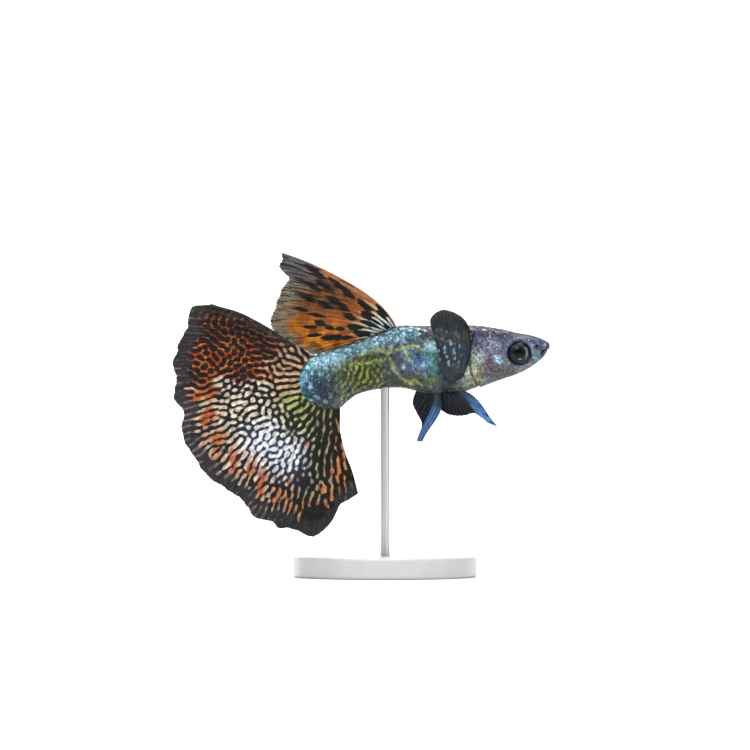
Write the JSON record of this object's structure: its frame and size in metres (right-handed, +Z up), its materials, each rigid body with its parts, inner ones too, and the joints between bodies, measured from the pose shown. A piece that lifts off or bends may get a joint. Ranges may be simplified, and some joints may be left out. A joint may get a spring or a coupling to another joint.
{
  "type": "fancy guppy display model",
  "caption": "Life-size still model of a male fancy guppy with a wide fan tail, held over a round base by one rod.",
  "frame": {"origin": "middle of the whole model's bounding box at its lowest level, on the underside of the base", "axes": "+X towards the snout, +Z up, the fish's right side towards -Y"},
  "size_m": [0.0472, 0.0236, 0.0406],
  "materials": {
    "skin": "painted scales, turquoise blue over olive, wet gloss",
    "eye": "polished, dark slate iris and black pupil",
    "tail_fin": "thin membrane, black ground with cream maze lines and orange patches",
    "dorsal_fin": "thin membrane, orange with black ovals and a grey edge",
    "dark_fin": "thin smoky black membrane",
    "blue_fin": "thin near-black membrane with pale blue rays",
    "stand": "satin pale grey",
    "rod": "brushed"
  },
  "bodies": {
    "root": {"head": "skin", "trunk": "skin", "tail_stem": "skin", "eye_right": "eye", "eye_left": "eye", "tail_fin": "tail_fin", "dorsal_fin": "dorsal_fin", "pectoral_fin_right": "dark_fin", "pectoral_fin_left": "dark_fin", "pelvic_fin_right": "blue_fin", "pelvic_fin_left": "blue_fin", "anal_fin": "blue_fin", "stand_base": "stand", "stand_rod": "rod"}
  },
  "joints": []
}
